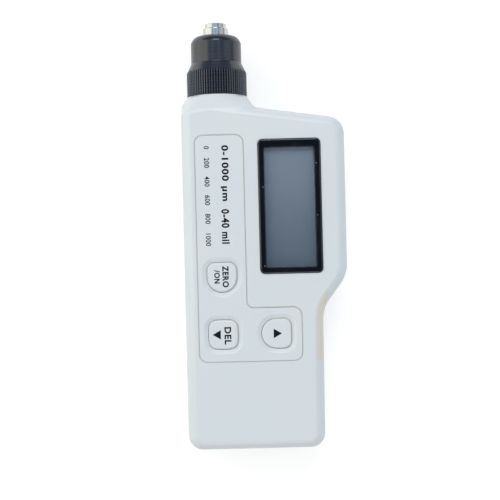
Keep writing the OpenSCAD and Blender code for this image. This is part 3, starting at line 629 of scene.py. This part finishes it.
def pieces():
    """Finishes every node: smooth copies where it shows, a finish alone inside."""
    for node in frame["nodes"]:
        if node == "front_shell":
            front_shell()
        elif node == "probe_sleeve":
            dressed(node, EDGES[node] * MM, *RING_ANGLES)
        elif node == "probe_spring":
            short_spring()
        elif node in EDGES:
            dressed(node, EDGES[node] * MM)
        else:
            recoloured(node)
    for name in ("zero", "del", "up"):
        skirt(name + "_key", name + "_button")
    legends()


# Studio


def sent_on(tree, path):
    """1 for rays that a shiny or clear surface sends on."""
    return joined(tree, "MAXIMUM", path.outputs["Is Glossy Ray"], path.outputs["Is Transmission Ray"])


def floor():
    """Pale floor that looks white and still takes the shadow."""
    form = bmesh.new()
    bmesh.ops.create_grid(form, x_segments=1, y_segments=1, size=FLOOR_REACH)
    mesh = bpy.data.meshes.new("floor")
    form.to_mesh(mesh)
    form.free()
    material = bpy.data.materials.new("floor_white")
    material.use_nodes = True
    tree = material.node_tree
    shader = tree.nodes["Principled BSDF"]
    shader.inputs["Base Color"].default_value = FLOOR_GREY
    shader.inputs["Roughness"].default_value = 0.9
    shader.inputs["Specular IOR Level"].default_value = 0.0
    shader.inputs["Emission Color"].default_value = (1, 1, 1, 1)
    glow = tree.nodes.new("ShaderNodeMath")
    glow.operation = "MULTIPLY"
    glow.inputs[1].default_value = FLOOR_GLOW
    path = tree.nodes.new("ShaderNodeLightPath")
    seen = joined(tree, "MAXIMUM", path.outputs["Is Camera Ray"], sent_on(tree, path))
    tree.links.new(seen, glow.inputs[0])
    tree.links.new(glow.outputs["Value"], shader.inputs["Emission Strength"])
    mesh.materials.append(material)
    made = bpy.data.objects.new("floor", mesh)
    bpy.context.scene.collection.objects.link(made)


def surroundings():
    """Even light from all round, a dim bluish ceiling in reflections, and plain white behind the gauge."""
    world = bpy.data.worlds.new("studio")
    bpy.context.scene.world = world
    world.use_nodes = True
    tree = world.node_tree
    light = tree.nodes["Background"]
    light.inputs["Color"].default_value = SKY_COLOUR
    light.inputs["Strength"].default_value = SKY_LIGHT
    place = tree.nodes.new("ShaderNodeTexCoord")
    parts = tree.nodes.new("ShaderNodeSeparateXYZ")
    tree.links.new(place.outputs["Generated"], parts.inputs["Vector"])
    ramp = tree.nodes.new("ShaderNodeValToRGB")
    stops = ramp.color_ramp.elements
    stops[0].position, stops[0].color = CEILING[0][0], (*CEILING[0][1], 1)
    stops[1].position, stops[1].color = CEILING[-1][0], (*CEILING[-1][1], 1)
    for height, colour in CEILING[1:-1]:
        stops.new(height).color = (*colour, 1)
    tree.links.new(parts.outputs["Z"], ramp.inputs["Fac"])
    ceiling = tree.nodes.new("ShaderNodeBackground")
    tree.links.new(ramp.outputs["Color"], ceiling.inputs["Color"])
    white = tree.nodes.new("ShaderNodeBackground")
    white.inputs["Color"].default_value = (1, 1, 1, 1)
    path = tree.nodes.new("ShaderNodeLightPath")
    shown = light.outputs["Background"]
    for mask, other in ((sent_on(tree, path), ceiling), (path.outputs["Is Camera Ray"], white)):
        mix = tree.nodes.new("ShaderNodeMixShader")
        tree.links.new(mask, mix.inputs["Fac"])
        tree.links.new(shown, mix.inputs[1])
        tree.links.new(other.outputs["Background"], mix.inputs[2])
        shown = mix.outputs["Shader"]
    tree.links.new(shown, tree.nodes["World Output"].inputs["Surface"])


def lamp(name, place, size, power, colour):
    """Square soft box that faces the gauge."""
    light = bpy.data.lights.new(name, "AREA")
    light.size = size
    light.energy = power
    light.color = colour
    made = bpy.data.objects.new(name, light)
    made.location = place
    made.rotation_euler = (-Vector(place)).to_track_quat("-Z", "Y").to_euler()
    bpy.context.scene.collection.objects.link(made)


def camera():
    """Camera at the photograph's place, for a square picture."""
    lens = bpy.data.cameras.new("camera")
    lens.lens = LENS
    lens.sensor_width = SENSOR
    made = bpy.data.objects.new("camera", lens)
    made.location = CAMERA_AT
    made.rotation_euler = (0, 0, CAMERA_TURN)
    bpy.context.scene.collection.objects.link(made)
    bpy.context.scene.camera = made


def studio():
    """Floor, light and camera."""
    bpy.context.scene.view_settings.view_transform = "Standard"
    floor()
    surroundings()
    for soft_box in LAMPS:
        lamp(*soft_box)
    camera()


pieces()
studio()
